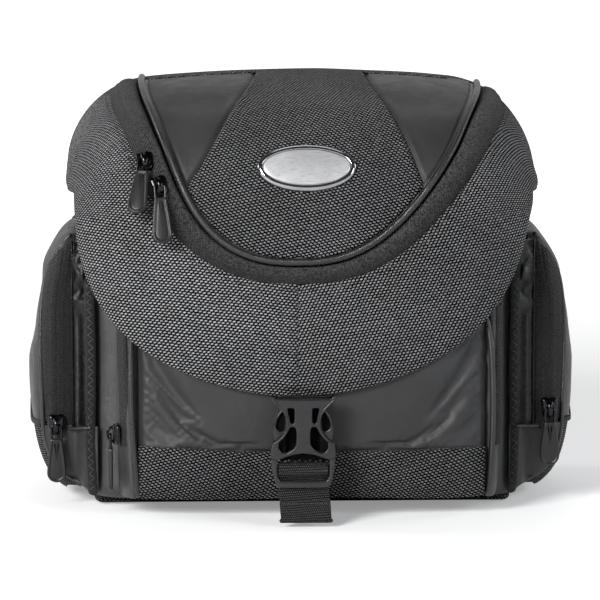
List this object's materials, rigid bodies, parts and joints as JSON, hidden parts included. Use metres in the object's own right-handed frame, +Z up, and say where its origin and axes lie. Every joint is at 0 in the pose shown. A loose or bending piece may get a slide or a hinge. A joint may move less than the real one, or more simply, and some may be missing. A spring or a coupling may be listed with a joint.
{
  "type": "camera bag",
  "caption": "Padded camera bag with a domed buckled lid, a zipped quick-access hatch in the lid, a front pocket and side pockets.",
  "frame": {"origin": "centre of the padded body's underside, on the floor", "axes": "+Z up, -Y out of the front with the buckle, +X to the right seen from the front"},
  "size_m": [0.3056, 0.1991, 0.2376],
  "materials": {
    "ballistic": "coarse ballistic nylon",
    "nylon": "smooth coated nylon",
    "zip_tape": "fine twill zip tape",
    "piping": "bound piping cord",
    "webbing": "ribbed webbing",
    "lining": "brushed padded lining",
    "buckle_plastic": "moulded acetal",
    "slider_metal": "dark enamelled metal",
    "pull_rubber": "moulded rubber",
    "plate_metal": "brushed plate",
    "bezel_metal": "dark chrome frame",
    "ring_metal": "black coated wire"
  },
  "bodies": {
    "bag": {"base_panel": "ballistic", "main_shell": "ballistic", "padded_liner": "lining", "divider_left": "lining", "divider_right": "lining", "back_panel": "ballistic", "belt_sleeve": "ballistic", "front_pocket": "nylon", "front_band": "ballistic", "front_zip_tape": "zip_tape", "front_piping": "piping", "side_pocket_left": "ballistic", "side_pocket_right": "ballistic", "side_gusset_left": "nylon", "side_gusset_right": "nylon", "side_zip_left": "zip_tape", "side_zip_right": "zip_tape", "ring_tab_left": "webbing", "ring_tab_right": "webbing", "strap_anchor": "webbing"},
    "lid": {"lid_rear": "ballistic", "lid_flap_left": "ballistic", "lid_flap_right": "ballistic", "lid_zip_tape": "zip_tape", "socket_loop": "webbing", "buckle_socket": "buckle_plastic"},
    "hatch": {"hatch_panel": "ballistic", "hatch_side_left": "nylon", "hatch_side_right": "nylon", "hatch_piping": "piping", "badge_bezel": "bezel_metal", "badge_plate": "plate_metal"},
    "slider_up": {"lid_slider_upper": "slider_metal"},
    "slider_low": {"lid_slider_lower": "slider_metal"},
    "pull_up": {"lid_pull_upper": "pull_rubber"},
    "pull_low": {"lid_pull_lower": "pull_rubber"},
    "side_slider_left": {"side_slider_left": "slider_metal"},
    "side_slider_right": {"side_slider_right": "slider_metal"},
    "side_pull_left": {"side_pull_left": "pull_rubber"},
    "side_pull_right": {"side_pull_right": "pull_rubber"},
    "front_slider": {"front_slider": "slider_metal"},
    "front_pull": {"front_pull": "pull_rubber"},
    "buckle": {"buckle_plug": "buckle_plastic", "strap_tail": "webbing"},
    "arm_left": {"buckle_arm_left": "buckle_plastic"},
    "arm_right": {"buckle_arm_right": "buckle_plastic"},
    "ring_left": {"ring_left": "ring_metal"},
    "ring_right": {"ring_right": "ring_metal"}
  },
  "joints": [
    {"name": "lid_hinge", "type": "hinge", "parent": "bag", "child": "lid", "pos_m": [0, 0.072, 0.2148], "axis": [-1, 0, 0], "range_deg": [0, 110]},
    {"name": "hatch_hinge", "type": "hinge", "parent": "lid", "child": "hatch", "pos_m": [0, 0.01874, 0.23757], "axis": [-1, 0, 0], "range_deg": [0, 100]},
    {"name": "lid_zip_upper", "type": "hinge", "parent": "lid", "child": "slider_up", "pos_m": [-0.07601, -0.02876, 0.1583], "axis": [-0.9422, -0.0366, -0.3331], "range_deg": [0, 34]},
    {"name": "lid_pull_upper", "type": "hinge", "parent": "slider_up", "child": "pull_up", "pos_m": [-0.08776, -0.09117, 0.19839], "axis": [-0.9781, 0.2056, 0.0334], "range_deg": [0, 150]},
    {"name": "lid_zip_lower", "type": "hinge", "parent": "lid", "child": "slider_low", "pos_m": [0.00595, -0.08197, 0.21528], "axis": [0, -0.937, 0.3492], "range_deg": [0, 22]},
    {"name": "lid_pull_lower", "type": "hinge", "parent": "slider_low", "child": "pull_low", "pos_m": [-0.0795, -0.09866, 0.18511], "axis": [-0.9986, -0.0183, -0.049], "range_deg": [0, 150]},
    {"name": "side_zip_left", "type": "slide", "parent": "bag", "child": "side_slider_left", "axis": [0, 0, 1], "range_m": [0, 0.07]},
    {"name": "side_pull_left", "type": "hinge", "parent": "side_slider_left", "child": "side_pull_left", "pos_m": [-0.1376, -0.0583, 0.046], "axis": [-1, 0, 0], "range_deg": [0, 150]},
    {"name": "side_zip_right", "type": "slide", "parent": "bag", "child": "side_slider_right", "axis": [0, 0, 1], "range_m": [0, 0.07]},
    {"name": "side_pull_right", "type": "hinge", "parent": "side_slider_right", "child": "side_pull_right", "pos_m": [0.1376, -0.0583, 0.054], "axis": [-1, 0, 0], "range_deg": [0, 150]},
    {"name": "front_zip", "type": "slide", "parent": "bag", "child": "front_slider", "axis": [-0.0639, 0, 0.998], "range_m": [0, 0.05]},
    {"name": "front_pull", "type": "hinge", "parent": "front_slider", "child": "front_pull", "pos_m": [-0.1072, -0.08, 0.045], "axis": [0, 1, 0], "range_deg": [0, 150]},
    {"name": "buckle_release", "type": "slide", "parent": "bag", "child": "buckle", "axis": [0, 0, -1], "range_m": [0, 0.0195]},
    {"name": "buckle_arm_left", "type": "hinge", "parent": "buckle", "child": "arm_left", "pos_m": [-0.0136, -0.1168, 0.035], "axis": [0, 1, 0], "range_deg": [0, 7]},
    {"name": "buckle_arm_right", "type": "hinge", "parent": "buckle", "child": "arm_right", "pos_m": [0.0076, -0.1168, 0.035], "axis": [0, -1, 0], "range_deg": [0, 7]},
    {"name": "strap_ring_left", "type": "hinge", "parent": "bag", "child": "ring_left", "pos_m": [-0.1284, 0.057, 0.147], "axis": [0, 1, 0], "range_deg": [0, 120]},
    {"name": "strap_ring_right", "type": "hinge", "parent": "bag", "child": "ring_right", "pos_m": [0.1284, 0.057, 0.147], "axis": [0, -1, 0], "range_deg": [0, 120]}
  ]
}
